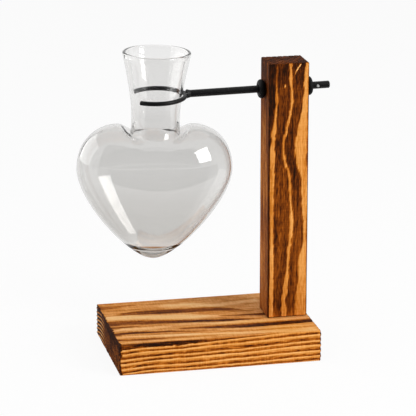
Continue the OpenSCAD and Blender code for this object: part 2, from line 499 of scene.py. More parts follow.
@dataclass(frozen=True)
class SoftRubber(GrainedFinish):
    """Black rubber with a dull, faintly grained skin."""

    name: str = "black_rubber"
    colours: Colours = linears((3, 3, 3), (9, 9, 10))
    roughness: Couple = (0.5, 0.68)
    grain: Point = (1400.0, 1400.0, 1400.0)
    specular: float = 0.15
    relief: Couple | None = (0.06, 0.5)


@dataclass(frozen=True)
class ScrewSteel(GrainedFinish):
    """Plain zinc-plated steel of the hidden screws."""

    name: str = "screw_steel"
    colours: Colours = linears((150, 146, 132), (186, 182, 168))
    roughness: Couple = (0.28, 0.45)
    grain: Point = (700.0, 700.0, 2400.0)
    metallic: float = 1.0


@dataclass(frozen=True)
class BlownGlass:
    """Clear blown glass, smoky where it is thick; its tints go by the share of the way up to the ring and are
    partly painted light.
    """

    name: str = "clear_glass"
    heights: tuple[float, ...] = (0.0, 0.07, 0.13, 0.3, 0.5, 0.6, 0.72, 1.0)
    # Tints by height are partly the glass's own smoky tint and partly painted light: the lighter tip, the
    # lighter band round the widest place and the lighter neck stand in for brightness from reflections and
    # refraction.
    tints_with_painted_light: Colours = (
        (1.0, 0.995, 0.985), (0.99, 0.98, 0.965), (0.815, 0.805, 0.79), (0.83, 0.82, 0.806),
        (0.9, 0.896, 0.888), (0.892, 0.888, 0.88), (0.866, 0.862, 0.856), (0.992, 0.99, 0.986),
    )
    depth_tint: Colour = (0.56, 0.55, 0.53)
    density: float = 97.0
    ior: float = 1.5

    def make(self) -> Material:
        """Build the material.

        Returns:
            The material.
        """
        shader = Shader(self.name, Roughness=0.0, IOR=self.ior, Transmission_Weight=1.0)
        shader.set(Base_Color=shader.ramp(shader.attribute("rise"), self.heights, self.tints_with_painted_light))
        body = shader.add("ShaderNodeVolumeAbsorption", Color=self.depth_tint, Density=self.density)
        shader.feed(shader.output.inputs["Volume"], body.outputs[0])
        return shader.material


def mesh_object(name: str, points: list, faces: list) -> Object:
    """Make a mesh object in the scene.

    Args:
        name: Name of the object and its mesh.
        points: Points in metres.
        faces: Faces, as lists of point numbers.

    Returns:
        The object.
    """
    mesh = bpy.data.meshes.new(name)
    mesh.from_pydata(points, [], faces)
    mesh.update()
    obj = bpy.data.objects.new(name, mesh)
    bpy.context.scene.collection.objects.link(obj)
    return obj


def bands(rings: int, sides: int, first: int = 0) -> list[tuple[int, ...]]:
    """Join a stack of rings of points by bands of four-sided faces.

    Args:
        rings: Number of rings.
        sides: Points in each ring.
        first: Number of the first ring's first point.

    Returns:
        Faces, as point numbers.
    """
    faces = []
    for row in range(rings - 1):
        for k in range(sides):
            a, b = first + row * sides + k, first + row * sides + (k + 1) % sides
            faces.append((a, b, b + sides, a + sides))
    return faces


def mark(obj: Object, label: str, values: Array) -> None:
    """Store a number from 0 to 1 at each point of a piece, for its finish to read."""
    layer = obj.data.attributes.new(label, "FLOAT", "POINT")
    layer.data.foreach_set("value", np.clip(values, 0, 1).astype(np.float32))


def dress(obj: Object, material: Material, crease: float = 40.0) -> None:
    """Shade a piece smoothly up to a crease angle and give it one material.

    Args:
        obj: The piece.
        material: Its material.
        crease: Angle in degrees past which an edge stays sharp.
    """
    obj.data.materials.clear()
    obj.data.materials.append(material)
    obj.data.polygons.foreach_set("use_smooth", np.ones(len(obj.data.polygons), bool))
    obj.data.set_sharp_from_angle(angle=math.radians(crease))
    obj.data.update()


class Face(Enum):
    """The six faces of a block, as the axis they are square to and the side they are on."""

    LEFT = (0, -1)
    RIGHT = (0, 1)
    FRONT = (1, -1)
    BACK = (1, 1)
    BOTTOM = (2, -1)
    TOP = (2, 1)


@dataclass(frozen=True)
class Hole:
    """A round hole, as a profile of (distance, radius) that is revolved about an axis."""

    start: Point
    direction: Point
    profile: tuple[Couple, ...]
    sides: int = 48

    def cutter(self) -> Object:
        """Make the solid that cuts the hole.

        Returns:
            A closed mesh object, in metres.
        """
        turn = Vector((0, 0, 1)).rotation_difference(Vector(self.direction))
        points = []
        for along, radius in self.profile:
            for k in range(self.sides):
                angle = 2 * math.pi * k / self.sides
                point = turn @ Vector((radius * math.cos(angle), radius * math.sin(angle), along))
                points.append((Vector(self.start) + point) * MM)
        caps = [tuple(range(self.sides - 1, -1, -1)), tuple(range(len(points) - self.sides, len(points)))]
        return mesh_object("hole_cutter", points, caps + bands(len(self.profile), self.sides))

    def drill(self, obj: Object) -> None:
        """Cut the hole in a piece and drop the cutter.

        Args:
            obj: The piece, which gets a new mesh.
        """
        cutter = self.cutter()
        modifier = obj.modifiers.new("drill", "BOOLEAN")
        modifier.operation, modifier.solver, modifier.object = "DIFFERENCE", "EXACT", cutter
        bpy.context.view_layer.update()
        cut = bpy.data.meshes.new_from_object(obj.evaluated_get(bpy.context.evaluated_depsgraph_get()))
        obj.modifiers.clear()
        obj.data = cut
        bpy.data.objects.remove(cutter)

    def clearance(self, points: Array) -> Array:
        """Measure how far points lie from the hole's widest wall.

        Args:
            points: Points in millimetres.

        Returns:
            Distances in millimetres, negative inside the hole.
        """
        axis = np.array(self.direction) / np.linalg.norm(self.direction)
        rel = points - np.array(self.start)
        radial = np.linalg.norm(rel - np.outer(rel @ axis, axis), axis=1)
        return radial - max(radius for _, radius in self.profile)


@dataclass
class Coat:
    """What burning and brushing left at each point, with painted highlight and shade in the burn of the base
    board's long sides: burn and tan from 0 to 1, depth in millimetres.
    """

    burn: Array | float
    tan: Array | float
    depth: Array | float


@dataclass(frozen=True)
class Streak:
    """A band on a face, as stops of (along, across, half width, strength), in millimetres and shares."""

    stops: Stops
    power: float = 4.0
    falloff: float = 0.7
    tail: float = 4.0

    def strength(self, along: Array, across: Array) -> Array:
        """Find how strong the band is at each point.

        Args:
            along: Distance along the grain.
            across: Distance across it.

        Returns:
            Strength from 0 to 1.
        """
        first, last = self.stops[0][0], self.stops[-1][0]
        middle, half, strong = (between(self.stops, along, column) for column in (1, 2, 3))
        window = smooth(along, first - self.tail, first + 1) * smooth(along, last + self.tail, last - 1)
        away = (np.abs(across - middle) / np.maximum(half, 0.1)) ** self.power
        return strong * window * np.exp(-self.falloff * away)


def strongest(streaks: tuple[Streak, ...], along: Array, across: Array) -> Array:
    """Find how strong the strongest of some streaks is at each point; see Streak.strength."""
    return np.maximum.reduce([streak.strength(along, across) for streak in streaks])


def ring_lines(rings: Array, seed: int, soft: float = 0.34) -> Array:
    """Darken growth rings towards one side, where each ends sharply.

    Args:
        rings: Ring number and share of the way through it.
        seed: Picks how strong each ring is.
        soft: Share of a ring that stays light.

    Returns:
        Darkness from 0 to 1.
    """
    weakest, count = 0.62, 64
    number = np.floor(rings).astype(int)
    strength = np.random.default_rng(seed).uniform(weakest, 1.0, count)[number % count]
    share = rings - number
    rise = np.clip((share - soft) / (1 - soft), 0, 1) ** 1.5
    return strength * rise * smooth(share, 1.0, 0.93)


class Timber:
    """A block of burnt pine: shaped with worn edges, drilled, carved along its grain and coloured."""

    name: str
    node: str
    slot: str
    grain: int
    edge: float
    step: Point
    end_step = 0.4
    end_zone = 5.0
    carve_limit = 1.1
    skin_share = 0.98
    hole_rim = (0.05, 1.5)

    def __init__(self) -> None:
        """Take the block's corners from the frame."""
        low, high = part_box(self.node)
        self.low, self.high = np.array(low) / MM, np.array(high) / MM
        self.wander = Noise(11)
        self.fleck = Noise(23)

    def stations(self, axis: int) -> Array:
        """Place the grid's lines along one axis, close together near both ends.

        Args:
            axis: 0, 1 or 2.

        Returns:
            Rising coordinates, in millimetres.
        """
        low, high, step = self.low[axis], self.high[axis], self.step[axis]
        zone = min(self.end_zone, (high - low) / 4)
        fine = min(self.end_step, step)
        near = np.linspace(0, zone, max(2, round(zone / fine) + 1))
        middle = np.linspace(low + zone, high - zone, max(2, round((high - low - 2 * zone) / step) + 1))
        return np.unique(np.concatenate([low + near, middle, high - near]).round(6))

    def block(self) -> Object:
        """Make the block with its edges rounded, its faces gridded finely enough to carve.

        Returns:
            The object, closed and facing outwards.
        """
        lines = [self.stations(axis) for axis in range(3)]
        points, quads = [], []
        count = 0
        for face in Face:
            axis, side = face.value
            u, v = [k for k in range(3) if k != axis]
            grid_u, grid_v = np.meshgrid(lines[u], lines[v], indexing="ij")
            corner = np.zeros((*grid_u.shape, 3))
            corner[..., u], corner[..., v] = grid_u, grid_v
            corner[..., axis] = self.low[axis] if side < 0 else self.high[axis]
            numbers = count + np.arange(grid_u.size).reshape(grid_u.shape)
            a, b, c, d = numbers[:-1, :-1], numbers[1:, :-1], numbers[1:, 1:], numbers[:-1, 1:]
            order = (a, d, c, b) if (side > 0) == (axis == 1) else (a, b, c, d)
            quads.append(np.stack([q.ravel() for q in order], axis=1))
            points.append(corner.reshape(-1, 3))
            count += grid_u.size
        sharp, index = np.unique(np.vstack(points).round(5), axis=0, return_inverse=True)
        faces = index.ravel()[np.vstack(quads)]
        centre, normal = self.skin(sharp)
        return mesh_object(self.name, ((centre + normal * self.edge) * MM).tolist(), faces.tolist())

    def skin(self, points: Array) -> tuple[Array, Array]:
        """Split points on or near the surface into the inner block's nearest point and the way out.

        Args:
            points: Points in millimetres.

        Returns:
            The nearest points of the block shrunk by the edge radius, and unit vectors out of it.
        """
        inner = np.clip(points, self.low + self.edge, self.high - self.edge)
        out = points - inner
        length = np.linalg.norm(out, axis=1, keepdims=True)
        return inner, out / np.maximum(length, 1e-6)

    def holes(self) -> list[Hole]:
        """Holes to cut in the block."""
        return []

    def paint(self, face: Face, points: Array) -> Coat:
        """Find what fire and brush left on one face; each kind of block does so in its own way."""
        raise NotImplementedError

    def build(self, material: Material) -> None:
        """Make the finished block, which stands for its CAD node.

        Args:
            material: Its finish.
        """
        obj = self.block()
        for hole in self.holes():
            hole.drill(obj)
        points = np.zeros(len(obj.data.vertices) * 3)
        obj.data.vertices.foreach_get("co", points)
        points = points.reshape(-1, 3) / MM
        inner, out = self.skin(points)
        coat = self.coat(points, out)
        on_skin = np.linalg.norm(points - inner, axis=1) > self.edge * self.skin_share
        keep = on_skin.astype(float)
        for hole in self.holes():
            keep = keep * smooth(hole.clearance(points), *self.hole_rim)
        depth = np.clip(coat.depth, 0, self.carve_limit) * keep
        obj.data.vertices.foreach_set("co", ((points - out * depth[:, None]) * MM).ravel())
        mark(obj, "burn", coat.burn)
        mark(obj, "tan", coat.tan)
        dress(obj, material, crease=60.0)
        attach(obj, "stand")
        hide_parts(self.node)
        LOG.info("%s: %d points", self.name, len(points))

    def coat(self, points: Array, out: Array) -> Coat:
        """Blend the faces' coats by the way that each point faces.

        Args:
            points: Points in millimetres.
            out: The way out at each point.

        Returns:
            The blended coat.
        """
        total = Coat(*(np.zeros(len(points)) for _ in range(3)))
        for face in Face:
            axis, side = face.value
            weight = np.clip(out[:, axis] * side, 0, 1) ** 2
            near = weight > 0
            if near.any():
                part = self.paint(face, points[near])
                for label in ("burn", "tan", "depth"):
                    getattr(total, label)[near] += weight[near] * getattr(part, label)
        return total


class BaseBoard(Timber):
    """The base board: lines of growth rings on its sides, with painted highlight and shade on their ridges,
    and wide dark streaks on its top.
    """

    name = "burnt_base_board"
    node = "base"
    slot = "base_wood"
    grain = 0
    edge = 1.2
    step = (1.8, 0.5, 0.34)
    groove_depth = 0.55
    front_stations = (4, 20, 40, 60, 80, 100, 120, 136)
    front_rings = (
        (21.9, 22.2, 22.6, 23.2, 24.2, 25.0, 26.0, 26.4),
        (18.3, 18.7, 19.1, 19.6, 20.7, 21.4, 22.5, 22.9),
        (15.3, 16.0, 16.2, 17.1, 17.5, 18.1, 19.2, 19.5),
        (11.2, 12.0, 12.5, 12.8, 13.2, 13.8, 15.1, 15.3),
        (8.3, 9.2, 9.7, 10.1, 10.4, 10.9, 12.1, 12.3),
        (4.8, 5.7, 5.6, 6.1, 6.7, 7.2, 8.0, 8.1),
        (1.6, 2.6, 2.6, 2.6, 3.0, 3.1, 4.2, 4.4),
        (-0.6, 0.2, 0.4, 0.3, 0.3, 0.5, 0.7, 0.9),
        (-4.0, -3.0, -3.0, -3.0, -3.0, -3.0, -2.6, -2.4),
    )
    ring_strengths = (0.95, 0.78, 0.86, 0.84, 0.78, 0.86, 0.9, 0.9)
    rim_foot = ((0, 19.2), (50, 19.0), (58, 19.9), (82, 21.0), (108, 22.6))
    rim_burn = ((0, 0.7), (8, 0.76), (13, 0.97), (50, 0.95), (62, 0.8), (108, 0.6))
    end_pitch = 2.8
    pith = (66.0, -60.0)
    dark_streaks = (
        Streak(((0, 0.4, 2.0, 0.8), (38, 0.2, 2.2, 0.84), (46, 0, 1.2, 0.7), (60, 0, 0.8, 0.5))),
        Streak((
            (0, 10.8, 2.6, 0.72), (8, 10.2, 2.4, 0.56), (30, 8.5, 2.2, 0.52), (45, 7.6, 1.8, 0.48),
            (68, 5, 1.4, 0.42),
        )),
        Streak((
            (0, 22, 3.4, 0.66), (8, 23.6, 2.8, 0.66), (15, 23.9, 2.4, 0.76), (30, 21.9, 2.0, 0.66),
            (38, 21.3, 1.8, 0.7),
        )),
        Streak((
            (38, 21.3, 1.8, 0.68), (45, 19.4, 1.5, 0.6), (60, 17.6, 1.1, 0.46), (75, 15, 0.9, 0.38),
            (112, 10.2, 1.0, 0.32), (136, 11, 1.4, 0.33),
        )),
        Streak((
            (46, 25, 1.3, 0.48), (60, 25.2, 2.2, 0.6), (75, 24, 3.3, 0.68), (90, 22.8, 4.4, 0.74),
            (105, 22.5, 4.4, 0.78), (140, 23, 4.0, 0.84),
        )),
        Streak((
            (0, 45.2, 5.6, 0.64), (15, 44.8, 5.4, 0.62), (30, 43.0, 5.0, 0.67), (45, 41.2, 4.1, 0.7),
            (60, 39.3, 3.2, 0.72), (75, 37.6, 2.5, 0.73),
        )),
        Streak((
            (75, 37.6, 2.5, 0.72), (82, 36.7, 2.8, 0.78), (90, 36, 2.4, 0.74), (98, 35, 1.6, 0.62),
            (106, 34.9, 1.0, 0.48),
        )),
        Streak(((0, 36.3, 1.6, 0.66), (15, 36.8, 1.3, 0.6), (24, 37, 0.8, 0.42))),
        Streak(((80, 46.6, 1.3, 0.45), (90, 44.8, 1.7, 0.62), (98, 44.2, 2.0, 0.74), (112, 43.6, 2.8, 0.82))),
        Streak((
            (8, 63, 1.8, 0.42), (15, 63.7, 2.9, 0.64), (30, 64.4, 4.4, 0.73), (45, 63.4, 4.8, 0.73),
            (60, 61.8, 4.8, 0.71),
        )),
        Streak((
            (60, 61.8, 4.8, 0.71), (75, 60.9, 4.8, 0.7), (82, 60.2, 4.4, 0.73), (90, 58.3, 3.2, 0.7),
            (98, 55, 2.0, 0.46),
        )),
        Streak(((0, 80, 5.6, 0.62), (8, 79.6, 4.0, 0.54), (18, 81, 3.2, 0.46), (28, 82, 2.2, 0.36))),
        Streak(((0, 73, 2.4, 0.36), (30, 70.5, 1.8, 0.42), (46, 69.8, 1.4, 0.36))),
        Streak(((88, 54, 1.6, 0.42), (105, 52, 2.6, 0.42))),
    )
    pale_streaks = (
        Streak((
            (0, 57, 3.6, 0.9), (15, 56, 4.6, 1), (30, 53.6, 3.8, 1), (45, 51.5, 4.4, 1), (60, 49, 4.8, 1),
            (80, 45.6, 1.4, 0.6),
        )),
        Streak((
            (0, 28.5, 1.8, 0.4), (8, 31.5, 2.4, 0.7), (22, 30, 3, 0.6), (45, 33.6, 2.2, 0.5),
            (60, 34, 1.6, 0.8), (75, 31.5, 1.6, 0.9), (135, 30, 1.4, 0.2),
        )),
        Streak((
            (0, 16, 1.3, 0.5), (8, 17.4, 1.8, 0.8), (30, 13.8, 1.8, 0.9), (45, 12.7, 1.9, 0.95),
            (68, 10, 1.5, 1), (90, 7, 2, 0.9), (136, 4, 4.6, 0.85),
        )),
        Streak(((4, 5, 1.1, 0.6), (15, 5, 1.2, 0.7), (38, 3.4, 1.2, 0.6), (60, 3, 1.2, 0.3))),
        Streak(((44, 74, 3.6, 0.6), (60, 74, 3.4, 0.85), (82, 69, 3, 0.75), (112, 74, 4.4, 0.7))),
        Streak(((72, 17.5, 1.3, 0.6), (98, 15, 1.2, 0.75), (136, 14, 1.3, 0.7))),
    )

    def holes(self) -> list[Hole]:
        """Countersunk screw holes in the underside."""
        return Screws().holes()

    def side_rings_with_painted_light(self, points: Array) -> Array:
        """Darken the growth rings that run out on the board's long sides, with painted light in them: each
        ring is lightest just under its upper line, a painted highlight on its ridge, and darkens downwards,
        partly the wood's own darker ring and partly painted shade.

        Args:
            points: Points in millimetres.

        Returns:
            Darkness from 0 to 1.
        """
        along, _, up = (points - self.low).T
        up = up + 0.6 * self.wander.swing(points, (17, 30, 40)) + 0.2 * self.fleck.swing(points, (5, 9, 9))
        lines = np.array([np.interp(along, self.front_stations, ring) for ring in self.front_rings])
        total = np.zeros(len(points))
        for upper, lower, strength in zip(lines[:-1], lines[1:], self.ring_strengths):
            share = (upper - up) / (upper - lower)
            inside = (share >= 0) & (share <= 1.08)
            # Lightest just under the upper line and darker downwards: a painted highlight on the ridge and
            # painted shade under it, on top of the ring's own darker wood.
            rise = 0.48 * smooth(share, 0.06, 0.4) + 0.52 * smooth(share, 0.38, 0.78)
            total = np.maximum(total, np.where(inside, strength * rise * smooth(share, 1.06, 0.96), 0))
        return total

    def top_rim(self, points: Array) -> Array:
        """Find the charred band along the top of the board's long sides.

        Args:
            points: Points in millimetres.

        Returns:
            Burn from 0 to 1.
        """
        along, _, up = (points - self.low).T
        ragged = 1.6 * self.wander.swing(points, (11, 30, 30)) + 0.8 * self.fleck.swing(points, (2.5, 9, 9))
        foot = between(self.rim_foot, along) + ragged
        return between(self.rim_burn, along) * smooth(up, foot - 0.5, foot + 0.4)

    def end_rings(self, points: Array) -> Array:
        """Darken the growth rings as arcs on the board's ends, with thin light lines between them.

        Args:
            points: Points in millimetres.

        Returns:
            Darkness from 0 to 1.
        """
        _, behind, up = (points - self.low).T
        reach = np.hypot(behind - self.pith[0], up - self.pith[1]) + self.wander.swing(points, (20, 12, 9))
        share = reach / self.end_pitch % 1
        return smooth(np.abs(share - 0.5), 0.06, 0.26)

    def char(self, points: Array) -> Array:
        """Find the ragged charred line that runs round both ends and creeps onto the faces beside them.

        Args:
            points: Points in millimetres.

        Returns:
            Burn from 0 to 1.
        """
        flat = points * np.array([0, 1, 1])
        tooth = self.fleck.at(flat, (1, 1.3, 1.3)) * self.wander.at(flat, (1, 5, 5))
        end = np.minimum(points[:, 0] - self.low[0], (self.high[0] - points[:, 0]) * 1.8)
        rim = np.minimum(points[:, 1] - self.low[1], self.high[2] - points[:, 2])
        rim = np.minimum(rim, self.high[1] - points[:, 1])
        onto = smooth(end, 2.6 * tooth + 0.9, 2.6 * tooth + 0.2) * smooth(rim, 2.4 + 5 * tooth, 0.6)
        return 0.92 * onto

    def paint(self, face: Face, points: Array) -> Coat:
        """Find what fire and brush left on one face, and on the long sides painted highlight and shade as
        well.

        Args:
            face: The face.
            points: Points on it, in millimetres.

        Returns:
            Burn, tan and depth at each point.
        """
        along, behind, up = (points - self.low).T
        speck = self.fleck.swing(points, (1.7, 0.6, 0.6))
        dash = self.fleck.swing(points, (5, 0.5, 0.5))
        mottle = self.wander.swing(points, (26, 8, 8))
        if face is Face.BOTTOM:
            burn = 0.3 + 0.25 * ring_lines(behind / 9 + mottle + 3, 3) + 0.1 * mottle
            return Coat(burn, tan=0.9, depth=0.02)
        if face is Face.TOP:
            fibres = self.fleck.swing(points, (24, 1.2, 3))
            threads = self.wander.swing(points, (34, 2.3, 5))
            across = behind + 1.2 * self.wander.swing(points, (30, 22, 22)) + 0.7 * fibres
            pale = strongest(self.pale_streaks, along, across)
            dark = strongest(self.dark_streaks, along, across)
            burn = 0.35 + 0.2 * mottle + 0.14 * fibres + 0.22 * threads + 0.08 * dash - 0.31 * pale
            ragged = 0.24 * fibres + 0.16 * (dash + mottle + threads)
            burn = np.maximum(burn, 1.12 * dark + ragged * smooth(dark, 0.1, 0.5))
            orange = smooth(along, 88, 122) * smooth(behind, 36, 18)
            tan = 0.55 + 0.6 * mottle - 0.5 * orange + 0.5 * smooth(along + behind, 120, 180)
            depth = 0.12 + 0.26 * smooth(burn, 0.35, 0.8) + 0.14 * fibres
        elif face in (Face.LEFT, Face.RIGHT):
            lines = self.end_rings(points)
            rays = self.wander.swing(points, (9, 13, 2.6))
            contrast = 0.2 + 0.75 * smooth(behind, 50, 70)
            burn = 0.95 + contrast * (lines - 0.88) + 0.2 * mottle + 0.3 * speck + 0.2 * rays
            burn = burn + 0.22 * smooth(up, 14 + 8 * rays, 20 + 8 * rays)
            tan = 0.5
            depth = 0.15 + self.groove_depth * lines + 0.3 * np.clip(speck, 0, 1)
        else:
            # Long sides: the growth rings' burn holds a painted highlight on each ridge and painted shade
            # below it.
            lines = self.side_rings_with_painted_light(points)
            clump = self.wander.swing(points, (9, 5, 1.6))
            rough = (0.4 * speck + 0.26 * dash + 0.24 * clump) * smooth(lines, 0.15, 0.7)
            burn = 0.05 + 0.76 * lines + 0.85 * rough + 0.14 * mottle
            burn = np.maximum(burn, self.top_rim(points) + 0.2 * speck)
            tan = 0.12
            depth = 0.06 + self.groove_depth * smooth(lines, 0.15, 0.9) + 0.12 * np.clip(dash, 0, 1)
        return Coat(np.maximum(burn, self.char(points)), tan, depth)


class Post(Timber):
    """The post: wavy dark bands with light streaks between them, a dark end on top."""

    name = "burnt_post"
    node = "post"
    slot = "post_wood"
    grain = 2
    edge = 0.9
    step = (0.5, 0.5, 1.8)
    groove_depth = 0.35
    nick = (164.2, 11.4)
    nick_size = (0.9, 0.55)
    scratch = ((178.0, 21.7), (173.0, 18.3))
    scratch_half = 0.42
    smudge = (111.5, 27.2)
    smudge_size = (6.4, 1.5)
    side_burn = (
        (0, 0.66), (6, 0.6), (30, 0.56), (90, 0.58), (125, 0.66), (150, 0.72), (168, 0.84), (180, 0.9),
    )
    light_left = (
        (0, 2.4, 1.5, 1), (120, 2.6, 1.5, 1), (138, 3.9, 1.2, 0.9), (150, 5.3, 0.8, 0.62),
        (178, 5.6, 0.6, 0.4),
    )
    light_middle = (
        (0, 11.9, 1.7, 1), (12, 11.6, 1.6, 1), (28, 13.6, 1.35, 1), (47, 14.9, 1.1, 1), (66, 16.6, 0.95, 1),
        (86, 15.5, 1.0, 1), (100, 15.2, 1.0, 1), (109, 12.4, 0.95, 0.95), (117, 10.2, 0.8, 0.9),
        (124, 10.6, 0.9, 0.95), (136, 13.0, 0.9, 0.9), (150, 15.8, 0.95, 0.95), (164, 15.5, 0.9, 0.9),
        (178, 15.2, 0.9, 0.85),
    )
    light_right = (
        (0, 19.6), (11, 19.9), (26, 21.4), (43, 22), (50, 24.1), (68, 24.9), (74, 23.4), (86, 23.3),
        (100, 22.7), (109, 19.9), (118, 18.3), (126, 18.6), (133, 19.9), (140, 22), (150, 23.4),
        (164, 24.3), (178, 25.2),
    )

    def holes(self) -> list[Hole]:
        """The rod's bore and the two screw holes."""
        return [RodBore().hole(), *Screws().holes()]

    def paint(self, face: Face, points: Array) -> Coat:
        """Find what fire and brush left on one face.

        Args:
            face: The face.
            points: Points on it, in millimetres.

        Returns:
            Burn, tan and depth at each point.
        """
        across, behind, up = (points - self.low).T
        tall = self.high[2] - self.low[2]
        mottle = self.wander.swing(points, (7, 7, 30))
        fibres = self.fleck.swing(points, (0.9, 0.9, 26))
        speck = self.fleck.swing(points, (0.5, 0.5, 1.6))
        if face in (Face.FRONT, Face.BACK):
            side = across if face is Face.FRONT else self.high[0] - points[:, 0]
            ragged = self.wander.swing(points, (2.4, 4, 5.5)) + self.fleck.swing(points, (1.1, 3, 2.3))
            light = self.light(up, side + 0.5 * mottle + 0.35 * fibres + 0.9 * ragged)
            heat = 0.1 * smooth(up, 84, 128) + 0.08 * smooth(up, tall - 26, tall - 2)
            heat = heat + 0.2 * smooth(up, tall - 48, tall - 24) * smooth(side, 6.4, 3.4)
            dark = 0.75 + 0.22 * mottle + 0.28 * fibres + 0.14 * speck + heat
            pale = 0.3 + 0.26 * mottle + 0.24 * fibres + 0.1 * speck
            burn = dark * (1 - light) + pale * light - 0.16 * smooth(up, 9, 0) * (1 - light)
            smudge = smooth(self.oval(up, side, self.smudge, self.smudge_size) + 0.5 * mottle, 1.15, 0.75)
            burn = np.maximum(burn, 0.6 * smudge)
            if face is Face.FRONT:
                burn = np.where(self.nicks(up, side), 0.05, burn)
            tan = 0.14
            depth = 0.04 + self.groove_depth * smooth(burn, 0.3, 0.7) + 0.12 * fibres
        elif face in (Face.LEFT, Face.RIGHT):
            lines = ring_lines((behind + 1.6 * mottle) / 4.1, 7, 0.45)
            level = between(self.side_burn, up) + 0.05
            burn = level + 0.3 * (lines - 0.3) + 0.36 * mottle + 0.4 * fibres + 0.12 * speck
            tan = 0.3
            depth = 0.06 + 0.2 * lines + 0.12 * fibres
        else:
            reach = np.hypot(across + 30, points[:, 1] - self.high[1] - 22)
            arcs = ring_lines(reach / 3.4, 9, 0.4)
            blotch = self.wander.swing(points, (5, 9, 5))
            burn = 0.95 + 0.24 * (arcs - 0.2) + 0.34 * speck + 0.3 * blotch
            tan = 0.3
            depth = 0.15 + 0.35 * arcs + 0.2 * np.clip(speck, 0, 1)
        return Coat(np.maximum(burn, self.edge_line(points)), tan, depth)

    def oval(self, up: Array, side: Array, middle: Couple, size: Couple) -> Array:
        """Measure how far points lie from an oval's middle, as a share of its half sizes."""
        return np.hypot((up - middle[0]) / size[0], (side - middle[1]) / size[1])

    def nicks(self, up: Array, side: Array) -> Array:
        """Find the points of the front that lie in the small nick or in the long scratch, bare of burn.

        Args:
            up: Height above the foot.
            side: Distance from the face's left edge.

        Returns:
            Whether each point lies in one.
        """
        start, end = np.array(self.scratch)
        run, rel = end - start, np.stack([up, side], axis=1) - start
        share = np.clip(rel @ run / (run @ run), 0, 1)
        away = np.linalg.norm(rel - share[:, None] * run, axis=1)
        return (self.oval(up, side, self.nick, self.nick_size) < 1) | (away < self.scratch_half)

    def light(self, up: Array, side: Array) -> Array:
        """Find how far each point of the front lies in a light streak.

        Args:
            up: Height above the foot.
            side: Distance from the face's left edge.

        Returns:
            1 in a light streak, 0 in a dark band.
        """
        total = np.zeros(len(up))
        for stops in (self.light_left, self.light_middle):
            middle, half, share = (between(stops, up, column) for column in (1, 2, 3))
            total = np.maximum(total, share * smooth(np.abs(side - middle), half + 0.35, half - 0.35))
        start = between(self.light_right, up)
        right = smooth(side, start - 0.4, start + 0.4) * (1 - 0.35 * smooth(side, 26.9, 27.5))
        return np.maximum(total, right)

    def edge_line(self, points: Array) -> Array:
        """Find the dark line that the flame left along the post's upright edges.

        Args:
            points: Points in millimetres.

        Returns:
            Burn from 0 to 1.
        """
        side = np.minimum(points[:, 0] - self.low[0], (self.high[0] - points[:, 0]) * 1.6)
        front = np.minimum(points[:, 1] - self.low[1], self.high[1] - points[:, 1])
        reach = 0.6 + 0.8 * self.wander.at(points, (9, 9, 18))
        return 0.93 * smooth(np.hypot(side, front), reach + 0.6, reach - 0.1)


@dataclass(frozen=True)
class Screws:
    """The two countersunk screws under the base board."""

    diameter: float = 3.0
    head: float = 7.0
    recess: float = 0.8
    land: float = 0.4
    length: float = 45.0
    point: float = 5.0
    point_diameter: float = 1.2
    fit: float = 0.1
    overrun: float = 1.0

    def holes(self) -> list[Hole]:
        """Place the screw holes by the screws' own boxes.

        Returns:
            The holes, head downwards.
        """
        head, core = self.head / 2 + self.fit, self.diameter / 2 + self.fit
        seat, end = self.recess + self.land, self.recess + self.length
        profile = (
            (-self.overrun, head),
            (seat, head),
            (seat + (self.head - self.diameter) / 2, core),
            (end - self.point, core),
            (end + self.fit, self.point_diameter / 2 + self.fit),
        )
        holes = []
        for node in ("post_screw_front", "post_screw_back"):
            low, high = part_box(node)
            middle = (low + high) / 2 / MM
            holes.append(Hole((middle.x, middle.y, 0.0), (0, 0, 1), profile))
        return holes


@dataclass(frozen=True)
class RodBore:
    """The bore in the post that the swivel rod turns in."""

    rod_diameter: float = 5.0
    fit: float = 0.06
    overrun: float = 1.0

    def hole(self) -> Hole:
        """Place the bore along the rod's axis.

        Returns:
            The hole.
        """
        joint = next(j for j in frame["joints"] if j["name"] == "arm_swivel")
        axis = Vector(joint["axis"]).normalized()
        low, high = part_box("post")
        half = (high.x - low.x) / 2 / MM + self.overrun
        start = Vector(joint["pos_m"]) / MM - axis * half
        radius = self.rod_diameter / 2 + self.fit
        return Hole(tuple(start), tuple(axis), ((0.0, radius), (2 * half, radius)))


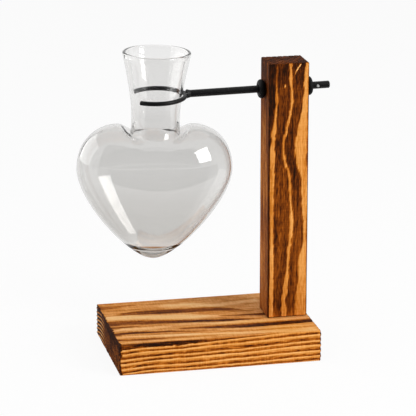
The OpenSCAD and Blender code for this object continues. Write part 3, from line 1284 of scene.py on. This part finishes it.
@dataclass(frozen=True)
class HeartVase:
    """The blown vase: a flared neck that opens into a hollow heart with a solid tip."""

    lip_radius: float = 23.0
    lip_thickness: float = 2.2
    waist_radius: float = 16.3
    lip_rise: float = 29.2
    waist_drop: float = 16.4
    wall: float = 1.6
    heart_width: float = 105.8
    heart_depth: float = 56.0
    heart_height: float = 94.0
    lobe_drop: float = 19.5
    notch_depth: float = 5.4
    cleft_depth: float = 7.0
    tip_thickness: float = 7.0
    floor_radius: float = 12.0
    floor_bowl: float = 0.5
    floor_fillet: float = 5.0
    turn: float = -6.0
    lean: float = 1.4
    neck_flare_share: float = 0.45
    lobe_top_share: float = 0.245
    widest_share: float = 0.675
    lobe_round_shares: Couple = (0.56, 0.59)
    flank_share: float = 0.35
    tip_round_share: float = 0.305
    notch_round_shares: Point = (0.55, 0.35, 0.5)
    notch_share: float = 0.045
    cleft_round_shares: Point = (0.45, 0.3, 0.75)
    cleft_share: float = 0.18
    front_shoulder_shares: tuple[Couple, ...] = ((0.2, 0.11), (0.62, 0.28), (0.8, 0.45))
    front_belly_shares: Couple = (0.92, 0.58)
    front_full_share: float = 0.6
    cleft_power: float = 2.0
    columns: int = 192
    ring_counts: tuple[int, ...] = (26, 12, 16, 26, 90)
    lip_rings: int = 12

    @property
    def tip_z(self) -> float:
        """Height of the tip."""
        return -self.lobe_drop - self.heart_height

    @property
    def floor_z(self) -> float:
        """Height of the floor inside."""
        return self.tip_z + self.tip_thickness

    @property
    def widest_z(self) -> float:
        """Height at which the heart is widest."""
        return self.tip_z + self.heart_height * self.widest_share

    def outline(self, radius: float, shoulder: list[Couple]) -> list[Couple]:
        """Join the neck, a shoulder and a flank into one outline.

        Args:
            radius: Distance of the widest place from the axis.
            shoulder: Control points from below the waist to above the widest place.

        Returns:
            Control points of five curves in a row, as (radius, height), from the lip to the tip.
        """
        lip, waist, rise = self.lip_radius, self.waist_radius, self.lip_rise
        length, fall = rise + self.waist_drop, self.widest_z - self.tip_z
        return [
            (lip, rise),
            (lip - (lip - waist) * self.neck_flare_share, rise - length / 3),
            (waist, rise - length * 2 / 3),
            (waist, -self.waist_drop),
            *shoulder,
            (radius, self.widest_z),
            (radius, self.widest_z - fall * self.flank_share),
            (radius * self.tip_round_share, self.tip_z),
            (0, self.tip_z),
        ]

    def side_outline(self) -> list[Couple]:
        """Find the outline through the lobes; see outline.

        Returns:
            Its control points.
        """
        radius, waist, lobe_z = self.heart_width / 2, self.waist_radius, -self.lobe_drop
        notch_z = lobe_z - self.notch_depth
        top = waist + (radius - waist) * self.lobe_top_share
        notch = waist + (top - waist) * self.notch_share
        first, second, third = self.notch_round_shares
        out, down = self.lobe_round_shares
        shoulder = [
            (waist, -self.waist_drop + (notch_z + self.waist_drop) * first),
            ((waist + notch) / 2, notch_z),
            (notch, notch_z),
            (notch + (top - notch) * second, notch_z),
            (top - (top - notch) * third, lobe_z),
            (top, lobe_z),
            (top + (radius - top) * out, lobe_z),
            (radius, self.widest_z + (lobe_z - self.widest_z) * down),
        ]
        return self.outline(radius, shoulder)

    def front_outline(self) -> list[Couple]:
        """Find the outline through the clefts at the front and back; see outline.

        Returns:
            Its control points.
        """
        radius, waist = self.heart_depth / 2, self.waist_radius
        cleft, cleft_z = waist + (radius - waist) * self.cleft_share, -self.lobe_drop - self.cleft_depth
        throat, drop, reach = cleft_z + self.waist_drop, cleft_z - self.widest_z, radius - cleft
        first, second, third = self.cleft_round_shares
        belly = (*self.front_shoulder_shares, self.front_belly_shares)
        shoulder = [
            (waist, -self.waist_drop + throat * first),
            (waist + (cleft - waist) * second, -self.waist_drop + throat * third),
            (cleft, cleft_z),
            *((cleft + reach * out, cleft_z - drop * down) for out, down in belly),
            (radius, self.widest_z + drop * (1 - self.front_full_share)),
        ]
        return self.outline(radius, shoulder)

    def skin(self, curve: int, share: float, angles: Array) -> Array:
        """Find a ring of points on the outer skin.

        Args:
            curve: Which of the outline's five curves.
            share: Share of the way along it.
            angles: Angles round the vase, in radians.

        Returns:
            One point a row.
        """
        part = slice(3 * curve, 3 * curve + 4)
        side = bezier(self.side_outline()[part], share)
        front = bezier(self.front_outline()[part], share)
        weight = np.abs(np.cos(angles)) ** self.cleft_power
        height = side[1] * weight + front[1] * (1 - weight)
        return np.stack([side[0] * np.cos(angles), front[0] * np.sin(angles), height], axis=-1)

    def lining(self, curve: int, share: float, angles: Array) -> Array:
        """Find a ring of points one wall inside the outer skin, and never below the rounded floor.

        Args:
            curve: Which of the outline's five curves.
            share: Share of the way along it.
            angles: Angles round the vase, in radians.

        Returns:
            One point a row.
        """
        step = 1e-4
        ends = (max(share - step, 0), min(share + step, 1))
        before, after = (self.skin(curve, end, angles) for end in ends)
        along = after - before
        around = self.skin(curve, share, angles + step) - self.skin(curve, share, angles - step)
        inwards = np.cross(around, along)
        inwards /= np.linalg.norm(inwards, axis=1, keepdims=True)
        points = self.skin(curve, share, angles) + self.wall * inwards
        reach = np.hypot(points[:, 0], points[:, 1]) / self.floor_radius
        floor = self.floor_z + self.floor_bowl * reach**2
        above = points[:, 2] - floor
        share = np.clip(0.5 + 0.5 * above / self.floor_fillet, 0, 1)
        points[:, 2] = floor + above * share + self.floor_fillet * share * (1 - share)
        return points

    def lip(self, bend: float, angles: Array) -> Array:
        """Find a ring of points on the rounded lip.

        Args:
            bend: Angle from the outside over the top, in radians.
            angles: Angles round the vase, in radians.

        Returns:
            One point a row.
        """
        half = self.lip_thickness / 2
        radius = self.lip_radius - half + half * math.cos(bend)
        height = np.full_like(angles, self.lip_rise + half * math.sin(bend))
        return np.stack([radius * np.cos(angles), radius * np.sin(angles), height], axis=-1)

    def build(self, material: Material) -> None:
        """Make the vase in its ring, where it stands for its CAD node.

        Args:
            material: Its glass.
        """
        angles = np.linspace(0, 2 * math.pi, self.columns, endpoint=False)
        counts = enumerate(self.ring_counts)
        places = [(curve, j / count) for curve, count in counts for j in range(1, count + 1)][:-1]
        outside = [self.skin(curve, share, angles) for curve, share in places]
        inside = [self.lining(curve, share, angles) for curve, share in places]
        rim = [self.lip(math.pi * j / self.lip_rings, angles) for j in range(self.lip_rings + 1)]
        rings = [*outside[::-1], *rim, *inside]
        points = np.vstack([[[0, 0, self.tip_z]], *rings, [[0, 0, self.floor_z]]])
        obj = mesh_object("blown_heart_vase", (self.place(points) * MM).tolist(), self.faces(len(rings)))
        skin = bmesh.new()
        skin.from_mesh(obj.data)
        bmesh.ops.recalc_face_normals(skin, faces=skin.faces)
        skin.to_mesh(obj.data)
        skin.free()
        # The share of the way up, which sets the glass's tints, painted light among them.
        mark(obj, "rise", 1 - points[:, 2] / self.tip_z)
        dress(obj, material, crease=35.0)
        obj.visible_shadow = False
        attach(obj, "vase")
        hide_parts("vase")
        LOG.info("%s: %d points", obj.name, len(points))

    def faces(self, rings: int) -> list[tuple[int, ...]]:
        """Join a stack of rings and its two end points into a closed skin.

        Args:
            rings: Number of rings.

        Returns:
            Faces, as point numbers.
        """
        n, top, last = self.columns, 1 + (rings - 1) * self.columns, 1 + rings * self.columns
        tip = [(0, 1 + k, 1 + (k + 1) % n) for k in range(n)]
        floor = [(last, top + (k + 1) % n, top + k) for k in range(n)]
        return tip + bands(rings, n, first=1) + floor

    def place(self, points: Array) -> Array:
        """Turn the vase, lean it and hang it in its ring.

        Args:
            points: Points in the vase's own frame, in millimetres.

        Returns:
            The points in the stand's frame.
        """
        joint = next(j for j in frame["joints"] if j["name"] == "vase_turn")
        turn = Matrix.Rotation(math.radians(self.turn), 3, "Z")
        lean = Matrix.Rotation(math.radians(self.lean), 3, "Y")
        return points @ np.array(lean @ turn).T + np.array(joint["pos_m"]) / MM


@dataclass(frozen=True)
class Arm:
    """The painted rod with its wire ring, weld and rubber rings."""

    chip: Point = (76.6, -2.4, 182.5)

    def dress(self) -> None:
        """Give each of the arm's solids its finish."""
        rubber = SoftRubber().make()
        finishes = {
            "swivel_rod": SatinPaint("black_metal_chipped", chip=self.chip).make(),
            "neck_ring": SatinPaint().make(),
            "weld_bead": PaintedWeld().make(),
            "rubber_ring_inner": rubber,
            "rubber_ring_outer": rubber,
        }
        for node, material in finishes.items():
            dress(frame["nodes"][node], material, crease=35.0)
            LOG.info("%s: dressed", node)


def towards(azimuth: float, elevation: float = 0.0) -> Vector:
    """Find the way to an azimuth, counted from -Y towards +X, and an elevation, in degrees."""
    a, e = math.radians(azimuth), math.radians(elevation)
    return Vector((math.sin(a) * math.cos(e), -math.cos(a) * math.cos(e), math.sin(e)))


@dataclass(frozen=True)
class Softbox:
    """A soft area light, placed by its direction from the vase."""

    name: str
    azimuth: float
    elevation: float
    distance: float
    width: float
    height: float
    radiance: float
    seen: bool = True
    lights: bool = True

    def build(self, target: Vector) -> None:
        """Hang the light.

        Args:
            target: What it points at, in metres.
        """
        out = towards(self.azimuth, self.elevation)
        light = bpy.data.lights.new(self.name, "AREA")
        light.shape, light.size, light.size_y = "RECTANGLE", self.width, self.height
        light.energy = self.radiance * math.pi * self.width * self.height
        obj = bpy.data.objects.new(self.name, light)
        obj.location = target + out * self.distance
        obj.rotation_euler = out.to_track_quat("Z", "Y").to_euler()
        obj.visible_camera = False
        obj.visible_glossy = obj.visible_transmission = self.seen
        obj.visible_diffuse = self.lights
        bpy.context.scene.collection.objects.link(obj)


def hang_card(shader: Shader, corners: list[Vector], mirrored: bool = True) -> None:
    """Place a flat card that the camera, diffuse light and shadows pass by.

    Args:
        shader: Its material, after which it is named.
        corners: Its four corners, in metres.
        mirrored: Whether reflections show it, and only they do.
    """
    if mirrored:
        shader.mirrored_only()
    obj = mesh_object(shader.material.name, corners, [(0, 1, 2, 3)])
    obj.data.materials.append(shader.material)
    obj.visible_camera = obj.visible_diffuse = obj.visible_shadow = False
    obj.visible_glossy = mirrored


@dataclass(frozen=True)
class Card:
    """An upright dark card that shows only in reflections, or else only through glass."""

    name: str
    azimuth: float
    distance: float
    width: float
    head: float
    grey: float
    mirrored: bool = True

    def build(self, target: Vector) -> None:
        """Stand the card up, facing its target.

        Args:
            target: What it stands round, in metres.
        """
        side = towards(self.azimuth + 90) * self.width / 2
        middle = Vector((target.x, target.y, 0.0)) + towards(self.azimuth) * self.distance
        head = Vector((0, 0, self.head))
        corners = [middle - side, middle + side, middle + side + head, middle - side + head]
        shader = Shader(self.name, "ShaderNodeEmission", Color=(self.grey,) * 3, Strength=1.0)
        hang_card(shader, corners, self.mirrored)


@dataclass(frozen=True)
class FloorCard:
    """A dark card that lies on the floor and shows only in reflections."""

    name: str
    azimuths: Couple
    reaches: Couple
    grey: float
    rise: float = 0.001

    def build(self, target: Vector) -> None:
        """Lay the card on the floor.

        Args:
            target: The point that it lies round, in metres.
        """
        middle = Vector((target.x, target.y, self.rise))
        ends = ((0, 0), (0, 1), (1, 1), (1, 0))
        corners = [middle + towards(self.azimuths[a]) * self.reaches[r] for a, r in ends]
        shader = Shader(self.name, Base_Color=(self.grey,) * 3, Roughness=1.0, Specular_IOR_Level=0.0)
        hang_card(shader, corners)


@dataclass(frozen=True)
class Studio:
    """Pale floor, even white surroundings, softboxes and the camera."""

    eye: Point = (-346.29, -1556.31, 562.55)
    yaw: float = 12.5685
    pitch: float = 16.1658
    focal_pixels: float = 2433.91
    frame_pixels: float = 416.0
    sensor: float = 36.0
    floor_reach: float = 40.0
    floor_drop: float = 0.0002
    floor_colour: Colour = (0.97, 0.97, 0.97)
    floor_glow_share: float = 0.91
    white: Colour = (1.0, 1.0, 1.0)
    fill: float = 0.36
    target: Point = (-10.0, 0.0, 110.0)
    lights: tuple[Softbox, ...] = (
        Softbox("softbox_right", 46.0, 23.0, 1.5, 0.5, 0.88, 8.6),
        Softbox("softbox_left", -116.0, 21.0, 1.5, 1.9, 1.25, 1.7, lights=False),
        Softbox("side_fill", -110.0, 25.0, 1.6, 1.6, 1.2, 0.5, seen=False),
        Softbox("overhead", -20.0, 72.0, 1.6, 1.8, 1.8, 1.0, seen=False),
    )
    cards: tuple[Card | FloorCard, ...] = (
        Card("dark_room", -12.0, 2.6, 6.4, 5.0, 0.1),
        Card("flag_right", 118.0, 1.4, 0.6, 1.6, 0.06, mirrored=False),
        Card("flag_left", -155.0, 1.4, 0.28, 1.6, 0.06, mirrored=False),
        FloorCard("table_edge", (-66.0, 66.0), (0.5, 3.6), 0.08),
    )

    def build(self) -> None:
        """Set up everything round the object."""
        self.camera()
        self.floor()
        self.world()
        for piece in (*self.lights, *self.cards):
            piece.build(Vector(self.target) * MM)
        bpy.context.scene.view_settings.view_transform = "Standard"

    def camera(self) -> None:
        """Stand the camera where the photograph was taken from."""
        data = bpy.data.cameras.new("camera")
        data.sensor_width = self.sensor
        data.lens = self.focal_pixels / self.frame_pixels * self.sensor
        data.clip_start, data.clip_end = 0.05, 100.0
        obj = bpy.data.objects.new("camera", data)
        obj.location = Vector(self.eye) * MM
        obj.rotation_euler = Euler((math.radians(90 - self.pitch), 0, math.radians(-self.yaw)))
        bpy.context.scene.collection.objects.link(obj)
        bpy.context.scene.camera = obj

    def floor(self) -> None:
        """Lay a wide pale floor that stays white to the camera and keeps a soft shadow."""
        reach, z = self.floor_reach, -self.floor_drop
        corners = [(x * reach, y * reach, z) for x, y in ((-1, -1), (1, -1), (1, 1), (-1, 1))]
        obj = mesh_object("floor", corners, [(0, 1, 2, 3)])
        shader = Shader("pale_floor", "ShaderNodeBsdfDiffuse", Color=self.floor_colour)
        glow = shader.add("ShaderNodeEmission", Color=self.white, Strength=1.0)
        share = shader.math("MULTIPLY", shader.seen_rays(), self.floor_glow_share)
        shader.cover(share, shader.surface.outputs[0], glow.outputs[0])
        obj.data.materials.append(shader.material)

    def world(self) -> None:
        """Surround the scene with white that lights the object more softly than it shows."""
        world = bpy.data.worlds.new("white_studio")
        bpy.context.scene.world = world
        world.use_nodes = True
        nodes = Nodes(world.node_tree)
        background = nodes.tree.nodes["Background"]
        nodes.feed(background.inputs["Color"], self.white)
        nodes.feed(background.inputs["Strength"], nodes.stretch(nodes.seen_rays(), 0, 1, self.fill, 1.0))


def main() -> None:
    """Build the object's pieces and the studio."""
    logging.basicConfig(level=logging.INFO, format="%(name)s: %(message)s")
    Studio().build()
    BaseBoard().build(BurntPine("base_wood", BaseBoard.grain).make())
    Post().build(BurntPine("post_wood", Post.grain, saw_strength=0.12).make())
    steel = ScrewSteel().make()
    for node in ("post_screw_front", "post_screw_back"):
        dress(frame["nodes"][node], steel)
    Arm().dress()
    HeartVase().build(BlownGlass().make())


if __name__ == "__main__":
    main()
